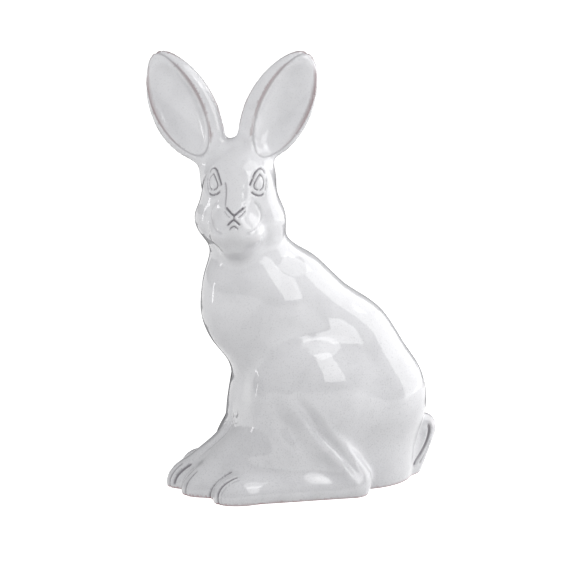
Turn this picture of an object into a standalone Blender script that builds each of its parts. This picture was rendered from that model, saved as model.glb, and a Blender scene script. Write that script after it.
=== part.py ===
"""A seated hare in white-glazed earthenware, cast as one piece, looking over its left shoulder.

Run it with: blender --background --python part.py
Metres, +Z up. The hare's body faces -Y, its left side is +X, and it stands on z = 0.

The figure is modelled as a potter would build it: lumps of clay (egg shapes and tapered limbs) are
pressed together, the joins are smoothed over, the ears are hollowed, the underside is cut flat, and
the eyes, nose, mouth, toes and tail are drawn with a modelling tool.
"""

import math

import bmesh
import bpy
import numpy as np
from mathutils import Matrix, Vector

# Driving dimensions, in metres
HEIGHT = 0.350  # table to the ear tips
TOOL_WIDTH = 0.0019  # half width of a line drawn with the modelling tool
TOOL_DEPTH = 0.0013  # depth of such a line
CLAY_GRAIN = 0.0024  # edge length of the raw clay surface before it is thinned
MOST_TRIANGLES = 9600  # the finished solid's triangles

# The figure's pose and proportions are shares of its height: places are given in 350ths of it,
# which are millimetres on the figure as it is made here.
MM = HEIGHT / 350

GLAZE_COLOUR = (0.82, 0.82, 0.84, 1.0)
GLAZE_ROUGHNESS = 0.12
# How closely the surface is worked out
SETTLE_ROUNDS = 5
GRADIENT_STEP = 0.02 * MM
PRESS_STEPS = 50
LINE_STEP = 0.6  # spacing of the points along a drawn line, in 350ths of the height
FADE = 1.4  # length over which a line fades out at its ends, in widths
CREASE_FADE = 5
FAINTEST = 0.15  # what is left of a line at its very end
RIM_SHARE = 0.9  # where the line inside an ear's rim runs, as a share of its hollow's radii
LIP_REACH = 2.4  # how far the lips beside a line reach, in half widths
LIP_FALL = 1.2  # how fast a line's lips fall off
REFINE_ROUNDS = 2
TOUCHED = 0.03 * MM
GENTLEST_SLOPE = 0.05
LONGEST_MOVE = 4 * MM

HEAD_TURN = math.radians(68)  # from straight ahead towards the hare's left
THIGH_SLOPE = 0.68  # angle of the thigh's long axis above the ground, in radians
TOE_VIEW = math.radians(45)  # how far down one looks to draw the toes of a hind foot
PAW_VIEW = math.radians(40)


def unit(vector):
    return np.asarray(vector, float) / np.linalg.norm(vector)


def axes_from(main, towards):
    """Three unit axes as columns: along main, across, and the third leaning towards a direction."""
    first = unit(main)
    third = unit(np.asarray(towards, float) - first * np.dot(towards, first))
    return np.column_stack([first, np.cross(third, first), third])


class Place:
    """A local frame: an origin and three axes, in metres on the figure."""

    def __init__(self, origin=(0, 0, 0), axes=None, parent=None):
        origin = np.asarray(origin, float) * MM
        axes = np.eye(3) if axes is None else axes
        if parent is not None:
            origin = parent.origin + parent.axes @ origin
            axes = parent.axes @ axes
        self.origin = origin
        self.axes = axes

    def inside(self, points):
        return (points - self.origin) @ self.axes

    def matrix(self):
        return Matrix.Translation(Vector(self.origin)) @ Matrix(self.axes.tolist()).to_4x4()


class Egg:
    """An ellipsoid of clay: centre and three radii, turned by its own axes."""

    def __init__(self, centre, radii, blend, axes=None):
        self.place = Place(centre, axes)
        self.radii = np.asarray(radii, float) * MM
        self.blend = blend * MM

    def distance(self, points):
        local = self.place.inside(points)
        near = np.linalg.norm(local / self.radii, axis=1)
        slope = np.linalg.norm(local / self.radii**2, axis=1)
        return near * (near - 1) / np.maximum(slope, 1e-9)

    def add_to(self, mesh, whole):
        shape = whole @ self.place.matrix() @ Matrix.Diagonal((*self.radii, 1))
        bmesh.ops.create_uvsphere(mesh, u_segments=24, v_segments=16, radius=1, matrix=shape)


class Limb:
    """A tapered, round-ended limb from start to end, which may be flattened across one axis."""

    def __init__(self, start, end, radii, blend, flatten=(1, 1, 1)):
        self.flatten = np.asarray(flatten, float)
        self.start = np.asarray(start, float) * MM
        self.end = np.asarray(end, float) * MM
        self.radii = np.asarray(radii, float) * MM
        self.blend = blend * MM

    def distance(self, points):
        middle = (self.start + self.end) / 2
        points = middle + (points - middle) / self.flatten
        first, last = self.radii
        spine = self.end - self.start
        length = np.dot(spine, spine)
        taper = first - last
        cone = length - taper * taper
        offset = points - self.start
        along = offset @ spine
        beyond = along - length
        across = np.sum((offset * length - np.outer(along, spine)) ** 2, axis=1)
        edge = math.copysign(1, taper) * taper * taper * across
        side = (np.sqrt(across * cone / length) + along * taper) / length - first
        start_cap = np.sqrt(across + along**2 * length) / length - first
        end_cap = np.sqrt(across + beyond**2 * length) / length - last
        found = np.where(np.sign(along) * cone * along**2 * length < edge, start_cap, side)
        found = np.where(np.sign(beyond) * cone * beyond**2 * length > edge, end_cap, found)
        return found * self.flatten.min() ** 0.5

    def add_to(self, mesh, whole):
        ends = []
        middle = Vector((self.start + self.end) / 2)
        flat = Matrix.Translation(middle) @ Matrix.Diagonal((*self.flatten, 1)) @ Matrix.Translation(-middle)
        for point, radius in zip((self.start, self.end), self.radii):
            shape = whole @ flat @ Matrix.Translation(Vector(point))
            made = bmesh.ops.create_uvsphere(
                mesh, u_segments=20, v_segments=12, radius=radius, matrix=shape
            )
            ends += made["verts"]
        hull = bmesh.ops.convex_hull(mesh, input=ends)
        spare = [item for item in hull["geom_interior"] if isinstance(item, bmesh.types.BMVert)]
        bmesh.ops.delete(mesh, geom=spare, context="VERTS")


def pressed_together(first, second, blend):
    """The smooth union of two distances: the join is filled over a width of about blend."""
    share = np.maximum(blend - np.abs(first - second), 0) / blend
    return np.minimum(first, second) - share * share * blend / 4


def hollowed(solid, tool, blend):
    return -pressed_together(-solid, tool, blend)


class Group:
    """Lumps that are joined in order, in a frame of their own, with hollows scooped out of them."""

    def __init__(self, lumps, hollows=(), place=None, blend=10):
        self.lumps = lumps
        self.hollows = hollows
        self.place = place or Place()
        self.blend = blend * MM

    def distance(self, points):
        local = self.place.inside(points)
        found = self.lumps[0].distance(local)
        for lump in self.lumps[1:]:
            found = pressed_together(found, lump.distance(local), lump.blend)
        for hollow in self.hollows:
            found = hollowed(found, hollow.distance(local), hollow.blend)
        return found

    def add_to(self, mesh):
        for lump in self.lumps:
            lump.add_to(mesh, self.place.matrix())


def mirrored(side, x, y, z):
    return (side * x, y, z)


def body():
    """Chest, back and rump."""
    return Group(
        [
            Limb((0, -13, 148), (0, 33, 105), (47, 45.5), 12, flatten=(0.84, 1, 1)),
            Limb((0, 36, 103), (0, 51, 64), (49, 59), 12, flatten=(0.84, 1, 1)),
            Egg((0, -35, 149), (38, 43, 47), 16),
            Limb((0, -40, 174), (0, -41, 206), (31, 27), 14),
            Limb((0, -10, 162), (0, -36, 198), (26, 18), 10),
            Limb((-4, -37, 188), (-12, -42, 222), (21, 20), 14),
            Egg((0, 51, 14), (46, 48, 48), 14),
            Egg((0, -28, 10), (38, 48, 34), 10),
        ]
    )


def forelegs():
    """Two straight forelegs that stand close together, the right paw a little ahead of the left."""
    lumps = [Egg((-3, -38, 66), (17, 13.5, 54), 12)]
    for side in (-1, 1):
        ahead = 0 if side > 0 else 6
        lumps += [
            Limb(mirrored(side, 17, -24, 108), mirrored(side, 15, -27 - ahead / 2, 68), (21, 19), 12),
            Limb(mirrored(side, 15, -27 - ahead / 2, 68), mirrored(side, 17, -39, 28), (19, 20), 10),
            Limb(mirrored(side, 17, -40, 24), mirrored(side, 14, -76 - ahead, 7), (20, 15), 10),
            Egg(mirrored(side, 13, -82 - ahead, 3), (14.5, 17, 14), 8),
            Limb(mirrored(side, 16, -76, 3), mirrored(side, 38, -62, 3), (12, 12), 6),
        ]
    return Group(lumps, blend=20)


def hind_leg(side):
    """Folded hind leg: thigh, shin and the long foot that lies on the ground."""
    thigh_axes = axes_from((0, -math.cos(THIGH_SLOPE), math.sin(THIGH_SLOPE)), (side, 0, 0))
    ahead = 0 if side > 0 else 5
    return Group(
        [
            Egg(mirrored(side, 34, 7 + ahead / 2, 73), (54, 51, 25), 6, axes=thigh_axes),
            Limb(mirrored(side, 34, -20, 84), mirrored(side, 50, 34, 13), (18, 12), 5),
            Limb(mirrored(side, 51, 30, 5), mirrored(side, 45, -56, 6), (14, 14), 10),
            Egg(mirrored(side, 44, -62 - ahead, 4), (15, 19, 16), 6),
            Egg(mirrored(side, 32, -9, 31), (23, 48, 34), 12),
            Egg(mirrored(side, 24, -22, 66), (17, 22, 44), 14),
        ],
        blend=8,
    )


def tail():
    return Group([Limb((0, 90, 10), (0, 109.5, 36), (20, 12), 5)], blend=5)


HEAD_FORWARD = (math.sin(HEAD_TURN), -math.cos(HEAD_TURN), 0)
HEAD = Place((3, -47, 231), np.column_stack([
    (math.cos(HEAD_TURN), math.sin(HEAD_TURN), 0), (-HEAD_FORWARD[0], -HEAD_FORWARD[1], 0), (0, 0, 1)
]))


def head():
    """The head in its own frame: x to the hare's left, -y forward, z up."""
    lumps = [Egg((0, 6, 16), (28, 35, 32), 12)]
    for side in (-1, 1):
        lumps += [
            Egg(mirrored(side, 16.5, -4, -11), (19, 24, 19), 12),
            Egg(mirrored(side, 14, -13, 8), (13, 15, 20), 10),
        ]
    lumps += [
        Limb((0, -14, 22), (0, -34, -8), (14, 10), 14),
        Egg((0, -25, -18), (17, 19, 15), 10),
    ]
    for side in (-1, 1):
        lumps.append(Egg(mirrored(side, 9, -31, -20), (11, 11, 10), 6))
    lumps += [Egg((0, -25, -31), (11, 12, 8), 8), Egg((-6, 3, 39), (10, 10, 9), 6)]
    return Group(lumps, place=HEAD, blend=14)


def ear(side):
    """A cupped leaf: a broad blade with a narrower tip, hollowed from the front."""
    root = np.array((side * 12 - 6, 0, 29), float)
    tip = np.array((side * 58 - 6, 2, 117.5 + side * 2), float)
    # The blade's own frame: x from root to tip, y across, z to the front.
    outward = np.array((side * 0.2, -1, 0))
    axes = axes_from(tip - root, outward)
    place = Place(root, axes, HEAD)
    out = 1 if axes[:, 1][0] * side > 0 else -1
    return Group(
        [
            Egg((49, out * (2 - side), -1), (41, 26 - side / 2, 10), 4),
            Egg((66, out * 1, -1), (34.5, 19.5, 8), 8),
            Limb((-8, out * (4 - 3 * side), -2), (25, out * -3.5, -2), (11, 11.5), 8, flatten=(1, 1, 0.7)),
        ],
        hollows=[Egg((57.5, out * 5, 16), (49, 21.5, 18), 3)],
        place=place,
        blend=9,
    )


def figure():
    """Every group of lumps, in the order in which they are joined."""
    return [body(), forelegs(), hind_leg(-1), hind_leg(1), tail(), head(), ear(-1), ear(1)]


def smooth_path(points, spacing):
    """Points along a curve that passes through the given ones, about spacing apart."""
    points = np.asarray(points, float)
    before = np.vstack([2 * points[0] - points[1], points[:-1]])
    after = np.vstack([points[1:], 2 * points[-1] - points[-2]])
    slopes = (after - before) / 2
    path = []
    for start, end, leave, arrive in zip(points[:-1], points[1:], slopes[:-1], slopes[1:]):
        steps = max(2, int(np.linalg.norm(end - start) / spacing))
        for t in np.arange(steps) / steps:
            path.append(
                (2 * t**3 - 3 * t**2 + 1) * start
                + (t**3 - 2 * t**2 + t) * leave
                + (3 * t**2 - 2 * t**3) * end
                + (t**3 - t**2) * arrive
            )
    path.append(points[-1])
    return np.array(path)


def pressed_onto(groups, place, path):
    """A flat drawing moved along its place's depth axis until it meets the clay."""
    well_before = HEIGHT / 4
    flat = np.column_stack([path[:, 0], np.zeros(len(path)), path[:, 1]]) * MM
    start = flat @ place.axes.T + place.origin - place.axes[:, 1] * well_before
    travel = np.zeros(len(path))
    for _ in range(PRESS_STEPS):
        travel += distance_to(groups, start + np.outer(travel, place.axes[:, 1]))
    return start + np.outer(travel, place.axes[:, 1])


class Line:
    """A line drawn in the clay: a groove with slightly raised lips, fading out at open ends."""

    fade = FADE
    faintest = FAINTEST

    def __init__(self, place, points, width=1.0, depth=1.0, closed=False):
        self.place = place
        self.points = points + points[:1] if closed else points
        self.width = width * TOOL_WIDTH
        self.depth = depth * TOOL_DEPTH
        self.closed = closed

    def draw_on(self, groups):
        self.path = pressed_onto(groups, self.place, smooth_path(self.points, LINE_STEP))
        steps = np.linalg.norm(np.diff(self.path, axis=0), axis=1)
        along = np.concatenate([[0], np.cumsum(steps)])
        from_end = np.minimum(along, along[-1] - along)
        fade = 1 if self.closed else np.clip(from_end / (self.fade * self.width), self.faintest, 1)
        self.strength = np.ones(len(along)) * fade

    def sunk(self, points):
        """How far the clay is pushed in at each point."""
        reach = LIP_REACH * self.width
        low = self.path.min(axis=0) - reach
        high = self.path.max(axis=0) + reach
        near = np.all((points > low) & (points < high), axis=1)
        depth = np.zeros(len(points))
        if not near.any():
            return depth
        spots = points[near]
        closest = np.full(len(spots), np.inf)
        strength = np.zeros(len(spots))
        for index, (start, end) in enumerate(zip(self.path[:-1], self.path[1:])):
            step = end - start
            share = np.clip((spots - start) @ step / np.dot(step, step), 0, 1)
            gap = np.linalg.norm(spots - start - share[:, None] * step, axis=1)
            here = self.strength[index] * (1 - share) + self.strength[index + 1] * share
            strength = np.where(gap < closest, here, strength)
            closest = np.minimum(gap, closest)
        ratio = (closest / self.width) ** 2
        depth[near] = self.depth * strength * (1 - ratio) * np.exp(-LIP_FALL * ratio)
        return depth


class Crease(Line):
    """A soft dent pressed with a finger, which fades right out at its ends."""

    fade = CREASE_FADE
    faintest = 0


class Pad:
    """A low swelling on the clay, such as an eyeball."""

    def __init__(self, place, centre, radii, height):
        self.place = place
        self.centre = centre
        self.radii = np.asarray(radii, float) * MM
        self.height = height * MM

    def draw_on(self, groups):
        self.middle = pressed_onto(groups, self.place, np.array([self.centre], float))[0]

    def sunk(self, points):
        offset = (points - self.middle) @ self.place.axes
        ratio = (offset[:, 0] / self.radii[0]) ** 2 + (offset[:, 2] / self.radii[1]) ** 2
        ratio += (offset[:, 1] / (2 * self.radii.max())) ** 2
        return -self.height * np.maximum(1 - ratio, 0) ** 1.5


def eye(side):
    """An almond outline, a teardrop eyeball and the lids that stand up between them."""
    upper_lid = [(21.9, 25.5), (20.4, 28.8), (18, 30.4), (15, 28), (12.8, 22.8), (10.7, 17.3)]
    outer_lid = [(22.8, 23.5), (23.1, 18), (22.2, 12.2)]
    lower_lid = [(11.6, 14), (15.3, 11), (19.4, 10.1), (22, 11.8)]
    ball = [(18.3, 26.3), (20.7, 22.5), (21, 18.5), (20, 15), (17.4, 14.2), (14.8, 15.9), (14.3, 18.7),
            (15.9, 22.8)]
    lines = [(upper_lid, 0.7, 1.1), (outer_lid, 0.6, 0.7), (lower_lid, 0.7, 1.1)]
    marks = [Line(HEAD, [(side * x, z) for x, z in points], wide, deep) for points, wide, deep in lines]
    marks.append(Line(HEAD, [(side * x, z) for x, z in ball], 0.55, 0.9, closed=True))
    marks.append(Pad(HEAD, (side * 17.7, 19.5), (4.2, 6.5), 1.1))
    return marks


def cheek(side):
    """The line beside the bridge of the nose, and the arc round the whisker pad."""
    bridge = [(8.2, 22), (7.2, 17), (7, 12.5), (7.3, 8), (7.8, 2)]
    arc = [(12.5, 7), (16.5, 3), (19.3, -3), (19.4, -8), (17.3, -12.5), (13, -16.3), (7.5, -17.6)]
    return [
        Line(HEAD, [(side * x, z) for x, z in bridge], 0.7, 0.5 - 0.2 * side),
        Line(HEAD, [(side * x, z) for x, z in arc], 1.1, 0.45),
    ]


def nose_and_mouth():
    """A V for the top of the nose, the line down to the mouth, the mouth and the lower lip."""
    strokes = [
        ([(-7.8, 2.6), (-3.9, -0.5), (0, -3), (3.9, -0.5), (7.8, 2.2)], 0.7, 1.4),
        ([(0, -2.6), (0, -7)], 0.6, 1.1),
        ([(-5.8, -11.8), (-2.5, -8.4), (0, -6.8), (2.5, -8.4), (5.4, -11.4)], 0.65, 1.3),
        ([(-4.2, -14.6), (0, -11.8), (4.2, -14.6)], 0.65, 0.9),
        ([(8.8, 0.2), (6.2, -2.9), (2.4, -5.4)], 0.55, 0.8),
        ([(-8.8, 0.2), (-6.2, -2.9), (-2.4, -5.4)], 0.55, 0.6),
    ]
    return [Line(HEAD, points, width, depth) for points, width, depth in strokes]


def ear_rim(side):
    """The line inside the rolled rim of an ear, round its hollow."""
    inner = ear(side)
    along, across, front = inner.place.axes.T
    place = Place(inner.place.origin / MM, np.column_stack([along, -front, across]))
    centre, radii = inner.hollows[0].place.origin / MM, inner.hollows[0].radii / MM
    turns = np.linspace(0, 2 * math.pi, 16, endpoint=False)
    points = [
        (centre[0] + RIM_SHARE * radii[0] * math.cos(turn), centre[1] + RIM_SHARE * radii[1] * math.sin(turn))
        for turn in turns
    ]
    return Line(place, points, 1.0, 0.6, closed=True)


def haunch(side):
    """The crease between thigh and shin, and the softer one before the shin."""
    view = Place((0, 0, 0), np.column_stack([(0, 1, 0), (-side, 0, 0), (0, 0, 1)]))
    above_shin = [(-20, 86), (-5, 66), (6, 50), (18, 37), (30, 22), (38, 10)]
    before_shin = [(-36, 92), (-32, 76), (-24, 60), (-14, 44), (-3, 30)]
    return [
        Crease(view, above_shin, 3.2, 2.4),
        Crease(view, before_shin, 4, 1.5),
    ]


def looking(origin, tilt):
    """A place to draw on from the front, with the view tilted down."""
    c, s = math.cos(tilt), math.sin(tilt)
    return Place(origin, np.column_stack([(1, 0, 0), (0, c, -s), (0, s, c)]))


def toes(side):
    """Grooves between the toes of one hind foot and one paw."""
    ahead = 0 if side > 0 else 1
    foot = looking((side * 44, -62 - 5 * ahead, 4), TOE_VIEW)
    paw = looking((side * 13, -82 - 6 * ahead, 3), PAW_VIEW)
    marks = []
    for low, high in ((-12, -8), (6, 3.5)):
        points = [(side * low, -17), (side * (low + high) / 2, -6), (side * high, 12)]
        marks.append(Line(foot, points, 1.2, 1.2))
    for low, high in ((-5, -3), (6, 3)):
        points = [(side * low, -15), (side * (low + high) / 2, -4), (side * high, 10)]
        marks.append(Line(paw, points, 1.1, 0.9))
    return marks


def between_the_forelegs():
    """The groove down between the forelegs, and the one that parts the paws."""
    front = looking((0, -60, 60), 0)
    paws = looking((0, -84, 3), PAW_VIEW)
    return [
        Crease(front, [(-3, 10), (-4, -10), (-5, -38)], 2.2, 1.2),
        Line(paws, [(-4, -12), (-4, -4), (-4, 12)], 1.4, 1.2),
    ]


def fur_of_tail(side):
    """The tail's edge against the rump and the fur lines along it, seen from the side."""
    view = Place((0, 100, 20), np.column_stack([(0, 1, 0), (-side, 0, 0), (0, 0, 1)]))
    edge = [(11, 22), (12, 15), (8.5, 5), (2, -4), (-6, -12)]
    marks = [Line(view, edge, 1.3, 1.4)]
    for shift in (0, 1):
        low = 4 + 5 * shift
        marks.append(Line(view, [(14, 8 - 4 * shift), (low + 5, -3), (low - 3, -12)], 0.9, 0.8))
    return marks


def drawing(groups):
    """Every line and pad, laid on the clay."""
    marks = nose_and_mouth() + between_the_forelegs()
    for side in (-1, 1):
        marks += eye(side) + cheek(side) + toes(side) + fur_of_tail(side) + haunch(side)
        marks.append(ear_rim(side))
    for mark in marks:
        mark.draw_on(groups)
    return marks


def distance_to(groups, points, marks=()):
    found = groups[0].distance(points)
    for group in groups[1:]:
        found = pressed_together(found, group.distance(points), group.blend)
    for mark in marks:
        found = found + mark.sunk(points)
    return found


def settled(groups, points, marks=()):
    """Moves points onto the smoothed surface, down the slope of the distance."""
    for _ in range(SETTLE_ROUNDS):
        here = distance_to(groups, points, marks)
        slope = np.empty_like(points)
        for axis in range(3):
            step = np.zeros(3)
            step[axis] = GRADIENT_STEP
            slope[:, axis] = (distance_to(groups, points + step, marks) - here) / GRADIENT_STEP
        steepness = np.maximum(np.sum(slope**2, axis=1), GENTLEST_SLOPE)
        move = np.clip(here / steepness, -LONGEST_MOVE, LONGEST_MOVE)
        points = points - slope * move[:, None]
    return points


def raw_clay(groups):
    """The lumps as one closed mesh, fused by Blender's voxel remesh."""
    mesh = bmesh.new()
    for group in groups:
        group.add_to(mesh)
    data = bpy.data.meshes.new("hare")
    mesh.to_mesh(data)
    mesh.free()
    hare = bpy.data.objects.new("hare", data)
    sculpture = bpy.data.collections.new("hare sculpture")
    bpy.context.scene.collection.children.link(sculpture)
    sculpture.objects.link(hare)
    fuse = hare.modifiers.new("fuse", "REMESH")
    fuse.mode = "VOXEL"
    fuse.voxel_size = CLAY_GRAIN
    apply_modifiers(hare)
    return hare


def apply_modifiers(item):
    """Makes what the modifiers give the object's own mesh."""
    graph = bpy.context.evaluated_depsgraph_get()
    made = bpy.data.meshes.new_from_object(item.evaluated_get(graph))
    item.modifiers.clear()
    item.data = made


def points_of(data):
    points = np.empty(len(data.vertices) * 3, np.float32)
    data.vertices.foreach_get("co", points)
    return points.reshape(-1, 3).astype(float)


def set_points(data, points):
    data.vertices.foreach_set("co", points.astype(np.float32).ravel())
    data.update()


def without_pockets(mesh):
    """Deletes what the outer skin encloses: small gaps that stay between the lumps."""
    unseen = set(mesh.verts)
    shells = []
    while unseen:
        shell = set()
        front = {unseen.pop()}
        while front:
            shell |= front
            front = {edge.other_vert(spot) for spot in front for edge in spot.link_edges} - shell
        unseen -= shell
        shells.append(shell)
    shells.sort(key=len)
    for shell in shells[:-1]:
        bmesh.ops.delete(mesh, geom=list(shell), context="VERTS")


def refined(mesh, marks):
    """Splits the edges that a line or pad touches, so that the clay can follow it."""
    for _ in range(REFINE_ROUNDS):
        spots = np.array([vertex.co for vertex in mesh.verts])
        touched = np.zeros(len(spots), bool)
        for mark in marks:
            touched |= np.abs(mark.sunk(spots)) > TOUCHED
        mesh.verts.index_update()
        edges = [edge for edge in mesh.edges if all(touched[end.index] for end in edge.verts)]
        bmesh.ops.subdivide_edges(mesh, edges=edges, cuts=1, use_grid_fill=True)


def cut_flat(mesh):
    """Cuts the underside flat at z = 0 and closes it with one face."""
    everything = mesh.verts[:] + mesh.edges[:] + mesh.faces[:]
    bmesh.ops.bisect_plane(
        mesh, geom=everything, plane_co=(0, 0, 0), plane_no=(0, 0, -1), clear_outer=True
    )
    rim = [edge for edge in mesh.edges if edge.is_boundary]
    bmesh.ops.contextual_create(mesh, geom=rim)


def stand_centred(mesh):
    """Moves the figure so that the middle of its outer box stands over the origin."""
    spots = np.array([vertex.co for vertex in mesh.verts])
    middle = (spots.min(axis=0) + spots.max(axis=0)) / 2
    bmesh.ops.translate(mesh, verts=mesh.verts, vec=(-middle[0], -middle[1], 0))


def thinned(hare):
    """Collapses edges where the clay is smooth, and keeps them where it is drawn on."""
    thin = hare.modifiers.new("thin", "DECIMATE")
    thin.use_collapse_triangulate = True
    thin.ratio = MOST_TRIANGLES / sum(len(face.vertices) - 2 for face in hare.data.polygons)


def glaze():
    material = bpy.data.materials.new("white glaze")
    material.use_nodes = True
    shader = material.node_tree.nodes["Principled BSDF"]
    shader.inputs["Base Color"].default_value = GLAZE_COLOUR
    shader.inputs["Roughness"].default_value = GLAZE_ROUGHNESS
    shader.inputs["Metallic"].default_value = 0.0
    return material


def main():
    for item in list(bpy.data.objects):
        bpy.data.objects.remove(item)
    groups = figure()
    marks = drawing(groups)
    hare = raw_clay(groups)
    set_points(hare.data, settled(groups, points_of(hare.data)))
    mesh = bmesh.new()
    mesh.from_mesh(hare.data)
    without_pockets(mesh)
    refined(mesh, marks)
    mesh.to_mesh(hare.data)
    set_points(hare.data, settled(groups, points_of(hare.data), marks))
    mesh.clear()
    mesh.from_mesh(hare.data)
    cut_flat(mesh)
    stand_centred(mesh)
    mesh.to_mesh(hare.data)
    mesh.free()
    hare.data.shade_smooth()
    thinned(hare)
    hare.data.materials.append(glaze())


if __name__ == "__main__":
    main()
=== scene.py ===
"""Looks of a seated hare in white tin glaze, cast in one piece and looking over its left shoulder.

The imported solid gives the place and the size. The same lumps of clay are worked here at a finer
grain, so that the drawn lines are crisp and the surface has the slow waves of a hand-modelled figure.
Over it lies the glaze: thick and grey where it pools in the lines, thin and warm on the edges.
"""

import math

import bmesh
import bpy
import numpy as np
from bpy.props import FloatProperty, FloatVectorProperty, PointerProperty
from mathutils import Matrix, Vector, noise


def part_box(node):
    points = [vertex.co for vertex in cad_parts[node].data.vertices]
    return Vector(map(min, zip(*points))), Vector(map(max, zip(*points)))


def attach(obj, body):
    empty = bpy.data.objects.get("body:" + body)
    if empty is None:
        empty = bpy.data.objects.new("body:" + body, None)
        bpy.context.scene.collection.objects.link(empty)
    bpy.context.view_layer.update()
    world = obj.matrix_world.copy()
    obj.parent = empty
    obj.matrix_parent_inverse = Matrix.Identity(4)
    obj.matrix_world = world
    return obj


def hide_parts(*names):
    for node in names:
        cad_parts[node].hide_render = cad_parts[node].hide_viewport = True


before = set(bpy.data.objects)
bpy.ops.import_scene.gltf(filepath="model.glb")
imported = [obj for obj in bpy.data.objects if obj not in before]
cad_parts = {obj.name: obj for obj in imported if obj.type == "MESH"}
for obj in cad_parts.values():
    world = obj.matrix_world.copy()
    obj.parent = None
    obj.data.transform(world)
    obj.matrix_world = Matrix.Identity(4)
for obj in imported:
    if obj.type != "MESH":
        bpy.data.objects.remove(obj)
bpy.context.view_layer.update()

bl_info = {
    "name": "White-glazed hare",
    "version": (1, 0, 0),
    "blender": (4, 5, 0),
    "location": "View3D > Sidebar > Hare",
    "description": "Models the fine clay surface and the tin glaze of a seated hare on its packed solid",
    "category": "Add Mesh",
}

SOLID_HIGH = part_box("hare")[1]
BODY = "root"
NODE = "hare"

# Places on the figure are in 350ths of its height, which are millimetres at this size
MM = round(SOLID_HIGH.z, 3) / 350

# The modelling tool and its lines, as the solid has them
TOOL_WIDTH = 1.9 * MM  # half width of a drawn line
TOOL_DEPTH = 1.3 * MM
LINE_STEP = 0.6  # spacing of the points along a drawn line, in 350ths of the height
FADE = 1.4  # length over which a line fades out at its ends, in widths
CREASE_FADE = 5  # the same for a crease
FAINTEST = 0.15  # what is left of a line at its very end
LIP_REACH = 2.4  # how far the lips beside a line reach, in half widths
LIP_FALL = 1.2  # how fast a line's lips fall off
RIM_SHARE = 0.9  # where the line inside an ear's rim runs, as a share of its hollow's radii
RIM_POINTS = 16  # points along that line
WELL_BEFORE = 87.5 * MM  # how far in front of the clay a drawing starts
PRESS_STEPS = 50  # steps in which a drawing is moved up to the clay

# How closely the surface is worked out
SMALLEST_SLOPE = 1e-9  # keeps the middle of an egg from dividing by nothing
FAR_OFF = 26 * MM  # more than any blend
GRADIENT_STEP = 0.02 * MM  # the distance over which the slope is measured
GENTLEST_SLOPE = 0.05
LONGEST_MOVE = 4 * MM  # the most that a point moves in one round of settling
SETTLE_ROUNDS = 3
BEND_SPAN = 1.2 * MM  # the distance over which the clay's bend is measured
SPLIT_DEPTHS = (0.03 * MM, 0.25 * MM)  # edges are split again where a mark is deeper than each of these
SHIFT_ROUNDS = 3
SHIFT_STRIDE = 7  # one in so many of the solid's points says where it stands
SAME_PLACE = 1e-6  # corners closer together than this are one, in metres
FOOT_EDGE = 0.01 * MM  # what lies lower than this is the underside
SKIRT = 6 * MM  # how far the clay is drawn down below the table before it is cut flat

# Where the glaze changes: where each change starts, and where it is complete
LINE_POOL = (0.2, 0.95)  # depth of a line, as a share of the tool's
CREASE_POOL = (0.05, 0.3)  # how sharply a crease bends, per millimetre
CREASE_SHARE = 0.3  # how much of a pool's grey a crease takes
THIN_EDGE = (0.13, 0.3)  # how sharply an edge bends, per millimetre
FOOT_LINE = (0.4 * MM, 1.2 * MM)  # height above the table

# The glaze's patterns: scale per metre and detail of each, and between which values two of them set in
CLOUDS = (55, 3)
CLOUDS_SET_IN = (0.42, 0.68)
SPECKS = (900, 2)
SPECKS_SET_IN = (0.52, 0.72)
SKIN = (300, 2)
# How much greyer each makes the white
CLOUD_GREY = 0.25
SPECK_GREY = 0.4
LOW_SPECK_GREY = 0.4  # added for the specks at the very bottom
# Painted shade: the next value greys the white more and more from LOW_HEIGHT down to the table, where the
# figure takes less light
LOW_PAINTED_SHADE = 0.5
LOW_HEIGHT = 0.2  # the figure gets greyer from here down to the table, in metres
SKIN_BUMP = 0.06
SKIN_DEPTH = 0.2 * MM
GLAZE_IOR = 1.6
FOOT_ROUGHNESS = 0.5  # added where the clay is bare

HEAD_TURN = math.radians(68)  # from straight ahead towards the hare's left
THIGH_SLOPE = 0.68  # angle of the thigh's long axis above the ground, in radians
TOE_VIEW = math.radians(45)  # how far down one looks to draw the toes of a hind foot
PAW_VIEW = math.radians(40)


def unit(vector):
    return np.asarray(vector, float) / np.linalg.norm(vector)


def axes_from(main, towards):
    """Three unit axes as columns: along main, across, and the third leaning towards a direction."""
    first = unit(main)
    third = unit(np.asarray(towards, float) - first * np.dot(towards, first))
    return np.column_stack([first, np.cross(third, first), third])


class Place:
    """A local frame: an origin and three axes, in metres on the figure."""

    def __init__(self, origin=(0, 0, 0), axes=None, parent=None):
        origin = np.asarray(origin, float) * MM
        axes = np.eye(3) if axes is None else axes
        if parent is not None:
            origin = parent.origin + parent.axes @ origin
            axes = parent.axes @ axes
        self.origin = origin
        self.axes = axes

    def inside(self, points):
        return (points - self.origin) @ self.axes


class Egg:
    """An ellipsoid of clay: centre and three radii, turned by its own axes."""

    def __init__(self, centre, radii, blend, axes=None):
        self.place = Place(centre, axes)
        self.radii = np.asarray(radii, float) * MM
        self.blend = blend * MM

    def distance(self, points):
        local = self.place.inside(points)
        near = np.linalg.norm(local / self.radii, axis=1)
        slope = np.linalg.norm(local / self.radii**2, axis=1)
        return near * (near - 1) / np.maximum(slope, SMALLEST_SLOPE)

    def reach(self):
        """The corners of a box that holds the egg, however it is turned."""
        return self.place.origin - self.radii.max(), self.place.origin + self.radii.max()


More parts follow.
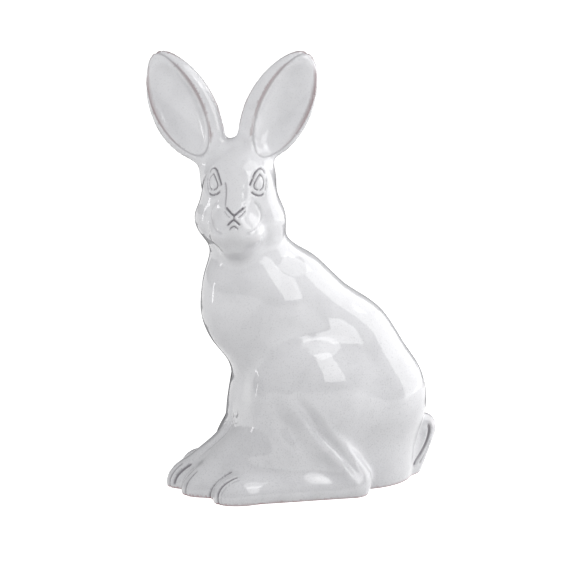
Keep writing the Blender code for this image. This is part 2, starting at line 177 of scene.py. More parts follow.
class Limb:
    """A tapered, round-ended limb from start to end, which may be flattened across one axis."""

    def __init__(self, start, end, radii, blend, flatten=(1, 1, 1)):
        self.flatten = np.asarray(flatten, float)
        self.start = np.asarray(start, float) * MM
        self.end = np.asarray(end, float) * MM
        self.radii = np.asarray(radii, float) * MM
        self.blend = blend * MM

    def distance(self, points):
        middle = (self.start + self.end) / 2
        points = middle + (points - middle) / self.flatten
        first, last = self.radii
        spine = self.end - self.start
        length = np.dot(spine, spine)
        taper = first - last
        cone = length - taper * taper
        offset = points - self.start
        along = offset @ spine
        beyond = along - length
        across = np.sum((offset * length - np.outer(along, spine)) ** 2, axis=1)
        edge = math.copysign(1, taper) * taper * taper * across
        side = (np.sqrt(across * cone / length) + along * taper) / length - first
        start_cap = np.sqrt(across + along**2 * length) / length - first
        end_cap = np.sqrt(across + beyond**2 * length) / length - last
        found = np.where(np.sign(along) * cone * along**2 * length < edge, start_cap, side)
        found = np.where(np.sign(beyond) * cone * beyond**2 * length > edge, end_cap, found)
        return found * self.flatten.min() ** 0.5

    def reach(self):
        most = self.radii.max()
        return np.minimum(self.start, self.end) - most, np.maximum(self.start, self.end) + most


def pressed_together(first, second, blend):
    """The smooth union of two distances: the join is filled over a width of about blend."""
    share = np.maximum(blend - np.abs(first - second), 0) / blend
    return np.minimum(first, second) - share * share * blend / 4


def hollowed(solid, tool, blend):
    return -pressed_together(-solid, tool, blend)


class Group:
    """Lumps that are joined in order, in a frame of their own, with hollows scooped out of them."""

    def __init__(self, lumps, hollows=(), place=None, blend=10):
        self.lumps = lumps
        self.hollows = hollows
        self.place = place or Place()
        self.blend = blend * MM
        reaches = [lump.reach() for lump in lumps]
        self.low = np.min([low for low, high in reaches], axis=0)
        self.high = np.max([high for low, high in reaches], axis=0)

    def distance(self, points):
        """The distance to this group: exact near it, and a little too short for points well away."""
        local = self.place.inside(points)
        away = np.maximum(self.low - local, local - self.high).max(axis=1)
        near = away < FAR_OFF
        away[near] = self.near_distance(local[near])
        return away

    def near_distance(self, local):
        found = self.lumps[0].distance(local)
        for lump in self.lumps[1:]:
            found = pressed_together(found, lump.distance(local), lump.blend)
        for hollow in self.hollows:
            found = hollowed(found, hollow.distance(local), hollow.blend)
        return found


def mirrored(side, x, y, z):
    return (side * x, y, z)


def body():
    """Chest, back and rump."""
    return Group(
        [
            Limb((0, -13, 148), (0, 33, 105), (47, 45.5), 12, flatten=(0.84, 1, 1)),
            Limb((0, 36, 103), (0, 51, 64), (49, 59), 12, flatten=(0.84, 1, 1)),
            Egg((0, -35, 149), (38, 43, 47), 16),
            Limb((0, -40, 174), (0, -41, 206), (31, 27), 14),
            Limb((0, -10, 162), (0, -36, 198), (26, 18), 10),
            Limb((-4, -37, 188), (-12, -42, 222), (21, 20), 14),
            Egg((0, 51, 14), (46, 48, 48), 14),
            Egg((0, -28, 10), (38, 48, 34), 10),
        ]
    )


def forelegs():
    """Two straight forelegs that stand close together, the right paw a little ahead of the left."""
    lumps = [Egg((-3, -38, 66), (17, 13.5, 54), 12)]
    for side in (-1, 1):
        ahead = 0 if side > 0 else 6
        lumps += [
            Limb(mirrored(side, 17, -24, 108), mirrored(side, 15, -27 - ahead / 2, 68), (21, 19), 12),
            Limb(mirrored(side, 15, -27 - ahead / 2, 68), mirrored(side, 17, -39, 28), (19, 20), 10),
            Limb(mirrored(side, 17, -40, 24), mirrored(side, 14, -76 - ahead, 7), (20, 15), 10),
            Egg(mirrored(side, 13, -82 - ahead, 3), (14.5, 17, 14), 8),
            Limb(mirrored(side, 16, -76, 3), mirrored(side, 38, -62, 3), (12, 12), 6),
        ]
    return Group(lumps, blend=20)


def hind_leg(side):
    """Folded hind leg: thigh, shin and the long foot that lies on the ground."""
    thigh_axes = axes_from((0, -math.cos(THIGH_SLOPE), math.sin(THIGH_SLOPE)), (side, 0, 0))
    ahead = 0 if side > 0 else 5
    return Group(
        [
            Egg(mirrored(side, 34, 7 + ahead / 2, 73), (54, 51, 25), 6, axes=thigh_axes),
            Limb(mirrored(side, 34, -20, 84), mirrored(side, 50, 34, 13), (18, 12), 5),
            Limb(mirrored(side, 51, 30, 5), mirrored(side, 45, -56, 6), (14, 14), 10),
            Egg(mirrored(side, 44, -62 - ahead, 4), (15, 19, 16), 6),
            Egg(mirrored(side, 32, -9, 31), (23, 48, 34), 12),
            Egg(mirrored(side, 24, -22, 66), (17, 22, 44), 14),
        ],
        blend=8,
    )


def tail():
    return Group([Limb((0, 90, 10), (0, 109.5, 36), (20, 12), 5)], blend=5)


HEAD_FORWARD = (math.sin(HEAD_TURN), -math.cos(HEAD_TURN), 0)
HEAD = Place((3, -47, 231), np.column_stack([
    (math.cos(HEAD_TURN), math.sin(HEAD_TURN), 0), (-HEAD_FORWARD[0], -HEAD_FORWARD[1], 0), (0, 0, 1)
]))


def head():
    """The head in its own frame: x to the hare's left, -y forward, z up."""
    lumps = [Egg((0, 6, 16), (28, 35, 32), 12)]
    for side in (-1, 1):
        lumps += [
            Egg(mirrored(side, 16.5, -4, -11), (19, 24, 19), 12),
            Egg(mirrored(side, 14, -13, 8), (13, 15, 20), 10),
        ]
    lumps += [
        Limb((0, -14, 22), (0, -34, -8), (14, 10), 14),
        Egg((0, -25, -18), (17, 19, 15), 10),
    ]
    for side in (-1, 1):
        lumps.append(Egg(mirrored(side, 9, -31, -20), (11, 11, 10), 6))
    lumps += [Egg((0, -25, -31), (11, 12, 8), 8), Egg((-6, 3, 39), (10, 10, 9), 6)]
    return Group(lumps, place=HEAD, blend=14)


def ear(side):
    """A cupped leaf: a broad blade with a narrower tip, hollowed from the front."""
    root = np.array((side * 12 - 6, 0, 29), float)
    tip = np.array((side * 58 - 6, 2, 117.5 + side * 2), float)
    # The blade's own frame: x from root to tip, y across, z to the front.
    outward = np.array((side * 0.2, -1, 0))
    axes = axes_from(tip - root, outward)
    place = Place(root, axes, HEAD)
    out = 1 if axes[:, 1][0] * side > 0 else -1
    return Group(
        [
            Egg((49, out * (2 - side), -1), (41, 26 - side / 2, 10), 4),
            Egg((66, out * 1, -1), (34.5, 19.5, 8), 8),
            Limb((-8, out * (4 - 3 * side), -2), (25, out * -3.5, -2), (11, 11.5), 8, flatten=(1, 1, 0.7)),
        ],
        hollows=[Egg((57.5, out * 5, 16), (49, 21.5, 18), 3)],
        place=place,
        blend=9,
    )


def figure():
    """Every group of lumps, in the order in which they are joined."""
    return [body(), forelegs(), hind_leg(-1), hind_leg(1), tail(), head(), ear(-1), ear(1)]


def smooth_path(points, spacing):
    """Points along a curve that passes through the given ones, about spacing apart."""
    points = np.asarray(points, float)
    before = np.vstack([2 * points[0] - points[1], points[:-1]])
    after = np.vstack([points[1:], 2 * points[-1] - points[-2]])
    slopes = (after - before) / 2
    path = []
    for start, end, leave, arrive in zip(points[:-1], points[1:], slopes[:-1], slopes[1:]):
        steps = max(2, int(np.linalg.norm(end - start) / spacing))
        for t in np.arange(steps) / steps:
            path.append(
                (2 * t**3 - 3 * t**2 + 1) * start
                + (t**3 - 2 * t**2 + t) * leave
                + (3 * t**2 - 2 * t**3) * end
                + (t**3 - t**2) * arrive
            )
    path.append(points[-1])
    return np.array(path)


class Line:
    """A line drawn in the clay: a groove with slightly raised lips, fading out at open ends."""

    fade = FADE
    faintest = FAINTEST

    def __init__(self, place, points, width=1.0, depth=1.0, closed=False):
        self.place = place
        self.points = points + points[:1] if closed else points
        self.width = width * TOOL_WIDTH
        self.depth = depth * TOOL_DEPTH
        self.closed = closed

    def drawn(self):
        return smooth_path(self.points, LINE_STEP)

    def lie_on(self, path):
        self.path = path
        steps = np.linalg.norm(np.diff(self.path, axis=0), axis=1)
        along = np.concatenate([[0], np.cumsum(steps)])
        from_end = np.minimum(along, along[-1] - along)
        fade = 1 if self.closed else np.clip(from_end / (self.fade * self.width), self.faintest, 1)
        self.strength = np.ones(len(along)) * fade

    def sunk(self, points):
        """How far the clay is pushed in at each point."""
        reach = LIP_REACH * self.width
        low = self.path.min(axis=0) - reach
        high = self.path.max(axis=0) + reach
        near = np.all((points > low) & (points < high), axis=1)
        depth = np.zeros(len(points))
        if not near.any():
            return depth
        spots = points[near]
        closest = np.full(len(spots), np.inf)
        strength = np.zeros(len(spots))
        for index, (start, end) in enumerate(zip(self.path[:-1], self.path[1:])):
            step = end - start
            share = np.clip((spots - start) @ step / np.dot(step, step), 0, 1)
            gap = np.linalg.norm(spots - start - share[:, None] * step, axis=1)
            here = self.strength[index] * (1 - share) + self.strength[index + 1] * share
            strength = np.where(gap < closest, here, strength)
            closest = np.minimum(gap, closest)
        ratio = (closest / self.width) ** 2
        depth[near] = self.depth * strength * (1 - ratio) * np.exp(-LIP_FALL * ratio)
        return depth


class Crease(Line):
    """A soft dent pressed with a finger, which fades right out at its ends."""

    fade = CREASE_FADE
    faintest = 0


class Pad:
    """A low swelling on the clay, such as an eyeball."""

    def __init__(self, place, centre, radii, height):
        self.place = place
        self.centre = centre
        self.radii = np.asarray(radii, float) * MM
        self.height = height * MM

    def drawn(self):
        return np.array([self.centre], float)

    def lie_on(self, path):
        self.middle = path[0]

    def sunk(self, points):
        offset = (points - self.middle) @ self.place.axes
        ratio = (offset[:, 0] / self.radii[0]) ** 2 + (offset[:, 2] / self.radii[1]) ** 2
        ratio += (offset[:, 1] / (2 * self.radii.max())) ** 2
        return -self.height * np.maximum(1 - ratio, 0) ** 1.5


def eye(side):
    """An almond outline, a teardrop eyeball and the lids that stand up between them."""
    upper_lid = [(21.9, 25.5), (20.4, 28.8), (18, 30.4), (15, 28), (12.8, 22.8), (10.7, 17.3)]
    outer_lid = [(22.8, 23.5), (23.1, 18), (22.2, 12.2)]
    lower_lid = [(11.6, 14), (15.3, 11), (19.4, 10.1), (22, 11.8)]
    ball = [
        (18.3, 26.3), (20.7, 22.5), (21, 18.5), (20, 15),
        (17.4, 14.2), (14.8, 15.9), (14.3, 18.7), (15.9, 22.8),
    ]
    lines = [(upper_lid, 0.7, 1.1), (outer_lid, 0.6, 0.7), (lower_lid, 0.7, 1.1)]
    marks = [Line(HEAD, [(side * x, z) for x, z in points], wide, deep) for points, wide, deep in lines]
    marks.append(Line(HEAD, [(side * x, z) for x, z in ball], 0.55, 0.9, closed=True))
    marks.append(Pad(HEAD, (side * 17.7, 19.5), (4.2, 6.5), 1.1))
    return marks


def cheek(side):
    """The line beside the bridge of the nose, and the arc round the whisker pad."""
    bridge = [(8.2, 22), (7.2, 17), (7, 12.5), (7.3, 8), (7.8, 2)]
    arc = [(12.5, 7), (16.5, 3), (19.3, -3), (19.4, -8), (17.3, -12.5), (13, -16.3), (7.5, -17.6)]
    return [
        Line(HEAD, [(side * x, z) for x, z in bridge], 0.7, 0.5 - 0.2 * side),
        Line(HEAD, [(side * x, z) for x, z in arc], 1.1, 0.45),
    ]


def nose_and_mouth():
    """A V for the top of the nose, the line down to the mouth, the mouth and the lower lip."""
    strokes = [
        ([(-7.8, 2.6), (-3.9, -0.5), (0, -3), (3.9, -0.5), (7.8, 2.2)], 0.7, 1.4),
        ([(0, -2.6), (0, -7)], 0.6, 1.1),
        ([(-5.8, -11.8), (-2.5, -8.4), (0, -6.8), (2.5, -8.4), (5.4, -11.4)], 0.65, 1.3),
        ([(-4.2, -14.6), (0, -11.8), (4.2, -14.6)], 0.65, 0.9),
        ([(8.8, 0.2), (6.2, -2.9), (2.4, -5.4)], 0.55, 0.8),
        ([(-8.8, 0.2), (-6.2, -2.9), (-2.4, -5.4)], 0.55, 0.6),
    ]
    return [Line(HEAD, points, width, depth) for points, width, depth in strokes]


def ear_rim(side):
    """The line inside the rolled rim of an ear, round its hollow."""
    inner = ear(side)
    along, across, front = inner.place.axes.T
    place = Place(inner.place.origin / MM, np.column_stack([along, -front, across]))
    centre = inner.hollows[0].place.origin / MM
    radii = RIM_SHARE * (inner.hollows[0].radii / MM)
    turns = np.linspace(0, 2 * math.pi, RIM_POINTS, endpoint=False)
    points = [
        (centre[0] + radii[0] * math.cos(turn), centre[1] + radii[1] * math.sin(turn))
        for turn in turns
    ]
    return Line(place, points, 1.0, 0.6, closed=True)


def haunch(side):
    """The crease between thigh and shin, and the softer one before the shin."""
    view = Place((0, 0, 0), np.column_stack([(0, 1, 0), (-side, 0, 0), (0, 0, 1)]))
    above_shin = [(-20, 86), (-5, 66), (6, 50), (18, 37), (30, 22), (38, 10)]
    before_shin = [(-36, 92), (-32, 76), (-24, 60), (-14, 44), (-3, 30)]
    return [
        Crease(view, above_shin, 3.2, 2.4),
        Crease(view, before_shin, 4, 1.5),
    ]


def looking(origin, tilt):
    """A place to draw on from the front, with the view tilted down."""
    c, s = math.cos(tilt), math.sin(tilt)
    return Place(origin, np.column_stack([(1, 0, 0), (0, c, -s), (0, s, c)]))


def toes(side):
    """Grooves between the toes of one hind foot and one paw, and finer lines beside some of them."""
    ahead = 0 if side > 0 else 1
    foot = looking((side * 44, -62 - 5 * ahead, 4), TOE_VIEW)
    paw = looking((side * 13, -82 - 6 * ahead, 3), PAW_VIEW)
    # Each line: how far out it starts in front and ends behind, its width and its depth
    foot_lines = [(-12, -8, 0.8, 1.2), (-9, -5.5, 0.5, 0.5), (6, 3.5, 0.8, 1.2), (9, 7, 0.5, 0.5)]
    paw_lines = [(-5, -3, 0.7, 0.9), (6, 3, 0.7, 0.9), (3.5, 1.5, 0.45, 0.4)]
    marks = []
    for place, heights, lines in ((foot, (-17, -6, 12), foot_lines), (paw, (-15, -4, 10), paw_lines)):
        for low, high, width, depth in lines:
            outs = (low, (low + high) / 2, high)
            points = [(side * out, height) for out, height in zip(outs, heights)]
            marks.append(Line(place, points, width, depth))
    return marks


def between_the_forelegs():
    """The groove down between the forelegs, and the one that parts the paws."""
    front = looking((0, -60, 60), 0)
    paws = looking((0, -84, 3), PAW_VIEW)
    return [
        Crease(front, [(-3, 10), (-4, -10), (-5, -38)], 2.2, 1.2),
        Line(paws, [(-4, -12), (-4, -4), (-4, 12)], 1.0, 1.2),
    ]


def fur_of_tail(side):
    """The tail's edge against the rump and the fur lines along it, seen from the side."""
    view = Place((0, 100, 20), np.column_stack([(0, 1, 0), (-side, 0, 0), (0, 0, 1)]))
    edge = [(11, 22), (12, 15), (8.5, 5), (2, -4), (-6, -12)]
    marks = [Line(view, edge, 1.3, 1.4)]
    for shift in (0, 1):
        low = 4 + 5 * shift
        marks.append(Line(view, [(14, 8 - 4 * shift), (low + 5, -3), (low - 3, -12)], 0.9, 0.8))
    return marks


def drawing(groups):
    """Every line and pad, laid on the clay."""
    marks = nose_and_mouth() + between_the_forelegs()
    for side in (-1, 1):
        marks += eye(side) + cheek(side) + toes(side) + fur_of_tail(side) + haunch(side)
        marks.append(ear_rim(side))
    starts = []
    ways = []
    for mark in marks:
        drawn = mark.drawn()
        flat = np.column_stack([drawn[:, 0], np.zeros(len(drawn)), drawn[:, 1]]) * MM
        way = mark.place.axes[:, 1]
        starts.append(flat @ mark.place.axes.T + mark.place.origin - way * WELL_BEFORE)
        ways.append(np.tile(way, (len(drawn), 1)))
    counts = [len(start) for start in starts]
    spots = np.vstack(starts)
    ways = np.vstack(ways)
    for _ in range(PRESS_STEPS):
        spots = spots + ways * distance_to(groups, spots)[:, None]
    for mark, path in zip(marks, np.split(spots, np.cumsum(counts)[:-1])):
        mark.lie_on(path)
    return marks


def distance_to(groups, points):
    found = groups[0].distance(points)
    for group in groups[1:]:
        found = pressed_together(found, group.distance(points), group.blend)
    return found


def slope_at(groups, points, here):
    """How the distance grows along each axis."""
    slope = np.empty_like(points)
    for axis in range(3):
        step = np.zeros(3)
        step[axis] = GRADIENT_STEP
        slope[:, axis] = (distance_to(groups, points + step) - here) / GRADIENT_STEP
    return slope


def settled(groups, points, rounds):
    """Moves points onto the smoothed surface, down the slope of the distance."""
    for _ in range(rounds):
        here = distance_to(groups, points)
        slope = slope_at(groups, points, here)
        steepness = np.maximum(np.sum(slope**2, axis=1), GENTLEST_SLOPE)
        move = np.clip(here / steepness, -LONGEST_MOVE, LONGEST_MOVE)
        points = points - slope * move[:, None]
    return points


def way_out_and_bend(groups, points):
    """The direction straight out of the clay, and how sharply the clay bends there, per millimetre.

    The bend is more than 0 on an edge and less than 0 in a crease.
    """
    slope = np.empty_like(points)
    bend = -6 * distance_to(groups, points)
    for axis in range(3):
        step = np.zeros(3)
        step[axis] = BEND_SPAN
        after = distance_to(groups, points + step)
        before = distance_to(groups, points - step)
        slope[:, axis] = after - before
        bend += after + before
    return slope / np.linalg.norm(slope, axis=1)[:, None], bend / BEND_SPAN**2 * MM


def points_of(data):
    points = np.empty(len(data.vertices) * 3, np.float32)
    data.vertices.foreach_get("co", points)
    return points.reshape(-1, 3).astype(float)


def set_points(data, points):
    data.vertices.foreach_set("co", points.astype(np.float32).ravel())
    data.update()


def shift_of_solid(groups, points):
    """How far the solid was moved sideways from where its lumps are, to stand centred."""
    shift = np.zeros(3)
    for _ in range(SHIFT_ROUNDS):
        here = distance_to(groups, points + shift)
        slope = slope_at(groups, points + shift, here)[:, :2]
        shift[:2] -= np.linalg.solve(slope.T @ slope, slope.T @ here)
    return -shift


def remeshed(solid, grain):
    """The solid's skin in even squares, with its underside drawn down below the floor."""
    mesh = bmesh.new()
    mesh.from_mesh(solid.data)
    bmesh.ops.remove_doubles(mesh, verts=mesh.verts, dist=SAME_PLACE)
    under = [face for face in mesh.faces if max(vertex.co.z for vertex in face.verts) < FOOT_EDGE]
    bmesh.ops.delete(mesh, geom=under, context="FACES")
    rim = [edge for edge in mesh.edges if edge.is_boundary]
    made = bmesh.ops.extrude_edge_only(mesh, edges=rim)["geom"]
    lower = [item for item in made if isinstance(item, bmesh.types.BMVert)]
    bmesh.ops.translate(mesh, verts=lower, vec=(0, 0, -SKIRT))
    lower_rim = [item for item in made if isinstance(item, bmesh.types.BMEdge)]
    bmesh.ops.contextual_create(mesh, geom=lower_rim)
    data = bpy.data.meshes.new("hare_glazed")
    mesh.to_mesh(data)
    mesh.free()
    hare = bpy.data.objects.new("hare_glazed", data)
    bpy.context.scene.collection.objects.link(hare)
    fuse = hare.modifiers.new("fuse", "REMESH")
    fuse.mode = "VOXEL"
    fuse.voxel_size = grain
    graph = bpy.context.evaluated_depsgraph_get()
    hare.data = bpy.data.meshes.new_from_object(hare.evaluated_get(graph))
    hare.modifiers.clear()
    return hare


def refined(mesh, marks, least):
    """Splits the edges where a mark is deeper than least, so that the clay can follow it."""
    spots = np.array([vertex.co for vertex in mesh.verts])
    touched = np.zeros(len(spots), bool)
    for mark in marks:
        touched |= np.abs(mark.sunk(spots)) > least
    mesh.verts.index_update()
    edges = [edge for edge in mesh.edges if all(touched[end.index] for end in edge.verts)]
    bmesh.ops.subdivide_edges(mesh, edges=edges, cuts=1, use_grid_fill=True)


def cut_flat(mesh):
    """Cuts the underside flat at z = 0 and closes it with one face."""
    everything = mesh.verts[:] + mesh.edges[:] + mesh.faces[:]
    bmesh.ops.bisect_plane(
        mesh, geom=everything, plane_co=(0, 0, 0), plane_no=(0, 0, -1), clear_outer=True
    )
    rim = [edge for edge in mesh.edges if edge.is_boundary]
    bmesh.ops.contextual_create(mesh, geom=rim)


def waves(points, sizes):
    """Slow unevenness left by the hand, in metres above the true surface."""
    found = np.empty(len(points))
    for index, point in enumerate(points):
        spot = Vector(point)
        found[index] = sizes.wave_height * noise.noise(spot / sizes.wave_length)
        found[index] += sizes.ripple_height * noise.noise(spot / sizes.ripple_length)
    return found


def store(data, name, values):
    """Keeps one number for each vertex, for the glaze to read."""
    layer = data.attributes.new(name, "FLOAT", "POINT")
    layer.data.foreach_set("value", values.astype(np.float32))


def between(low, high, values):
    """0 below low, 1 above high, and smooth between them."""
    share = np.clip((values - low) / (high - low), 0, 1)
    return share * share * (3 - 2 * share)


class HareSizes(bpy.types.PropertyGroup):
    """How finely the clay is worked."""

    grain: FloatProperty(
        name="Grain",
        description="Edge length of the surface away from the drawn lines",
        default=1.9 * MM,
        unit="LENGTH",
    )
    wave_height: FloatProperty(
        name="Wave height",
        description="Height of the slow waves that the hand leaves",
        default=0.3 * MM,
        unit="LENGTH",
    )
    wave_length: FloatProperty(
        name="Wave length",
        description="Distance between the slow waves",
        default=24 * MM,
        unit="LENGTH",
    )
    ripple_height: FloatProperty(
        name="Ripple height",
        description="Height of the small ripples in the clay",
        default=0.07 * MM,
        unit="LENGTH",
    )
    ripple_length: FloatProperty(
        name="Ripple length",
        description="Distance between the small ripples",
        default=8 * MM,
        unit="LENGTH",
    )


class GlazeLook(bpy.types.PropertyGroup):
    """Colours and gloss of the tin glaze."""

    white: FloatVectorProperty(
        name="White",
        description="The glaze at its usual thickness",
        default=(0.76, 0.76, 0.78),
        subtype="COLOR",
    )
    # This grey also carries the painted shade that darkens the white towards the table
    cloud_and_painted_shade: FloatVectorProperty(
        name="Cloud",
        description="The slightly thinner clouds in the white",
        default=(0.6, 0.6, 0.62),
        subtype="COLOR",
    )
    pooled: FloatVectorProperty(
        name="Pooled",
        description="The glaze where it lies thick in a line or a crease",
        default=(0.26, 0.25, 0.27),
        subtype="COLOR",
    )
    bare_edge: FloatVectorProperty(
        name="Bare edge",
        description="The clay that shows where the glaze runs thin on an edge",
        default=(0.33, 0.26, 0.27),
        subtype="COLOR",
    )
    foot: FloatVectorProperty(
        name="Foot",
        description="The unglazed clay line along the underside",
        default=(0.34, 0.18, 0.19),
        subtype="COLOR",
    )
    roughness: FloatProperty(
        name="Roughness",
        description="How soft the reflections are",
        default=0.025,
        min=0,
        max=1,
    )


class StudioLook(bpy.types.PropertyGroup):
    """Where the camera stands, and the floor's colour."""

    azimuth: FloatProperty(
        name="Azimuth",
        description="The camera's place round the figure, from its front towards its left side",
        default=math.radians(73),
        subtype="ANGLE",
    )
    elevation: FloatProperty(
        name="Elevation",
        description="The camera's height above the horizon",
        default=math.radians(11),
        subtype="ANGLE",
    )
    distance: FloatProperty(
        name="Distance",
        description="From the camera to the point it looks at",
        default=1.6,
        unit="LENGTH",
    )
    lens: FloatProperty(name="Lens", description="Focal length in millimetres", default=124.5)
    floor: FloatVectorProperty(
        name="Floor",
        description="Colour of the floor",
        default=(0.55, 0.55, 0.55),
        subtype="COLOR",
    )


class Value:
    """A shader socket that takes part in Python expressions."""

    def __init__(self, paint, socket):
        self.paint = paint
        self.socket = socket

    def maths(self, operation, first, second):
        return self.paint.node(
            "ShaderNodeMath", {"operation": operation}, {0: first, 1: second}
        )["Value"]

    def __add__(self, other):
        return self.maths("ADD", self, other)

    def __mul__(self, other):
        return self.maths("MULTIPLY", self, other)

    def __rsub__(self, other):
        return self.maths("SUBTRACT", other, self)

    __radd__ = __add__
    __rmul__ = __mul__


class Made:
    """A node that was just made: its outputs by name or number, as values."""

    def __init__(self, paint, node):
        self.paint = paint
        self.node = node

    def __getitem__(self, name):
        return Value(self.paint, self.node.outputs[name])


class Paint:
    """A material with a Principled BSDF, and the one way to add nodes to it."""

    def __init__(self, name):
        self.material = bpy.data.materials.new(name)
        self.material.use_nodes = True
        self.tree = self.material.node_tree
        self.shader = self.tree.nodes["Principled BSDF"]

    def feed(self, socket, value):
        if isinstance(value, Value):
            self.tree.links.new(value.socket, socket)
        else:
            socket.default_value = value

    def node(self, kind, settings=None, inputs=None):
        node = self.tree.nodes.new(kind)
        for name, value in (settings or {}).items():
            setattr(node, name, value)
        for name, value in (inputs or {}).items():
            self.feed(node.inputs[name], value)
        return Made(self, node)

    def set(self, name, value):
        self.feed(self.shader.inputs[name], value)

    def stored(self, name):
        return self.node("ShaderNodeAttribute", {"attribute_name": name})["Fac"]

    def blended(self, share, first, second):
        """A colour between two colours."""
        # Inputs 6 and 7 and output 2 of the mix node are its colours
        mix = self.node("ShaderNodeMix", {"data_type": "RGBA"}, {0: share, 6: first, 7: second})
        return mix[2]

    def step(self, value, low, high):
        """0 below low, 1 above high, and smooth between them."""
        return self.node(
            "ShaderNodeMapRange",
            {"interpolation_type": "SMOOTHSTEP"},
            {"Value": value, "From Min": low, "From Max": high},
        )["Result"]

    def cloudy(self, place, scale, detail):
        return self.node(
            "ShaderNodeTexNoise", None, {"Vector": place, "Scale": scale, "Detail": detail}
        )["Fac"]


def opaque(colour):
    return (*colour, 1.0)


def glaze(look):
    """White tin glaze: cloudy white, grey where it pools, warm clay where it runs thin, with painted shade
    greying it towards the table.
    """
    paint = Paint("white tin glaze")
    place = paint.node("ShaderNodeTexCoord")["Object"]
    pool = paint.stored("pool")
    thin = paint.stored("thin")
    foot = paint.stored("foot")
    clouds = paint.step(paint.cloudy(place, *CLOUDS), *CLOUDS_SET_IN)
    specks = paint.step(paint.cloudy(place, *SPECKS), *SPECKS_SET_IN)
    height = paint.node("ShaderNodeSeparateXYZ", None, {"Vector": place})["Z"]
    # Painted shade: low grows towards the table and greys the white there; it also adds more specks at the
    # bottom
    low = 1 - paint.step(height, 0, LOW_HEIGHT)
    grey = clouds * CLOUD_GREY + specks * (SPECK_GREY + LOW_SPECK_GREY * low) + low * LOW_PAINTED_SHADE
    colour = paint.blended(grey, opaque(look.white), opaque(look.cloud_and_painted_shade))
    colour = paint.blended(pool, colour, opaque(look.pooled))
    colour = paint.blended(thin, colour, opaque(look.bare_edge))
    colour = paint.blended(foot, colour, opaque(look.foot))
    paint.set("Base Color", colour)
    paint.set("Roughness", look.roughness + FOOT_ROUGHNESS * foot)
    paint.set("IOR", GLAZE_IOR)
    skin = paint.cloudy(place, *SKIN)
    bump = paint.node(
        "ShaderNodeBump", None, {"Strength": SKIN_BUMP, "Distance": SKIN_DEPTH, "Height": skin}
    )
    paint.set("Normal", bump["Normal"])
    return paint.material


class HARE_OT_figure(bpy.types.Operator):
    """Model the hare's fine clay surface in place of the solid, and glaze it"""

    bl_idname = "hare.figure"
    bl_label = "Glazed hare"

    def execute(self, context):
        sizes = context.scene.hare_sizes
        groups = figure()
        marks = drawing(groups)
        shift = shift_of_solid(groups, points_of(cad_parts[NODE].data)[::SHIFT_STRIDE])
        hare = remeshed(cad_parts[NODE], sizes.grain)
        set_points(hare.data, settled(groups, points_of(hare.data) - shift, SETTLE_ROUNDS))
        mesh = bmesh.new()
        mesh.from_mesh(hare.data)
        for least in SPLIT_DEPTHS:
            refined(mesh, marks, least)
        cut_flat(mesh)
        mesh.to_mesh(hare.data)
        mesh.free()
        points = points_of(hare.data)
        flat = points[:, 2] < FOOT_EDGE
        points = settled(groups, points, 1)
        points[flat, 2] = 0
        out, bend = way_out_and_bend(groups, points)
        out[flat, 2] = 0
        lines = np.zeros(len(points))
        raised = waves(points, sizes)
        for mark in marks:
            sunk = mark.sunk(points)
            raised -= sunk
            if isinstance(mark, Line) and not isinstance(mark, Crease):
                lines += sunk
        placed = points + out * raised[:, None] + shift
        placed[:, 2] = np.maximum(placed[:, 2], 0)
        set_points(hare.data, placed)
        pool = between(*LINE_POOL, lines / TOOL_DEPTH) + CREASE_SHARE * between(*CREASE_POOL, -bend)
        store(hare.data, "pool", np.clip(pool, 0, 1))
        store(hare.data, "thin", between(*THIN_EDGE, bend))
        store(hare.data, "foot", 1 - between(*FOOT_LINE, points[:, 2]))
        hare.data.shade_smooth()
        hare.data.materials.append(glaze(context.scene.hare_glaze))
        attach(hare, BODY)
        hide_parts(NODE)
        return {"FINISHED"}


def area_light(name, place, target, size, power):
    """A soft box: a flat light of the given width and height that faces the target."""
    light = bpy.data.lights.new(name, "AREA")
    light.shape = "RECTANGLE"
    light.size, light.size_y = size
    light.energy = power
    item = bpy.data.objects.new(name, light)
    item.location = place
    item.rotation_mode = "QUATERNION"
    item.rotation_quaternion = (target - place).to_track_quat("-Z", "Y")
    bpy.context.scene.collection.objects.link(item)
    return item


# Each light: its name, its place from the target (to the camera's right, towards the camera and
# up, in metres), its width and height, and its power in watts. The soft boxes light the glaze and
# the floor, and the panels are what the gloss reflects.
SOFT_BOXES = (
    ("right box", (1.2, 0.0, 0.35), (1.2, 1.2), 14.0),
    ("left box", (-1.0, 0.8, 0.5), (1.2, 1.2), 6.0),
    ("head box", (-0.1, 0.5, 0.55), (0.35, 0.35), 0.5),
    ("front box", (0.2, 1.3, 0.1), (1.0, 1.0), 2.5),
    ("overhead box", (0.1, -0.1, 1.3), (0.9, 0.9), 0.5),
)
PANELS = (
    ("shoulder panel", (0.86, 0.84, 0.6), (0.55, 1.0), 4.5),
    ("upper panel", (0.8, 0.25, 1.1), (1.5, 0.7), 6.0),
    ("back panel", (1.15, -0.5, 0.4), (1.5, 1.2), 12.0),
    ("neck strip", (-1.18, 0.0, -0.1), (0.1, 0.45), 0.6),
)
# The black flags behind the figure, which give its outline a thin dark edge, standing and lying on
# the floor: place from the target (to the camera's right, towards the camera and up), tilt from
# lying flat, and width and height
FLAGS = (
    ((0.0, -1.2, 0.6), math.radians(90), (1.3, 1.6)),
    ((0.0, -0.85, -0.158), 0.0, (1.1, 0.7)),
    ((0.0, -0.35, -0.158), 0.0, (0.5, 0.3)),
)
WHITE = (1, 1, 1, 1)
BLACK = (0.005, 0.005, 0.005, 1)
SKY_STRENGTH = 0.42
FLOOR_REACH = 30  # from the middle of the floor to its edges, in metres
FLOOR_ROUGHNESS = 0.8
FLOOR_GLOW = 0.95
TARGET = Vector((-0.0018, -0.0096, 0.1593))  # the point that the camera looks at


def staged(name, mesh, paint):
    """Makes a mesh a piece of the studio, which isn't part of the hare."""
    data = bpy.data.meshes.new(name)
    mesh.to_mesh(data)
    mesh.free()
    data.materials.append(paint.material)
    item = bpy.data.objects.new(name, data)
    bpy.context.scene.collection.objects.link(item)
    return item


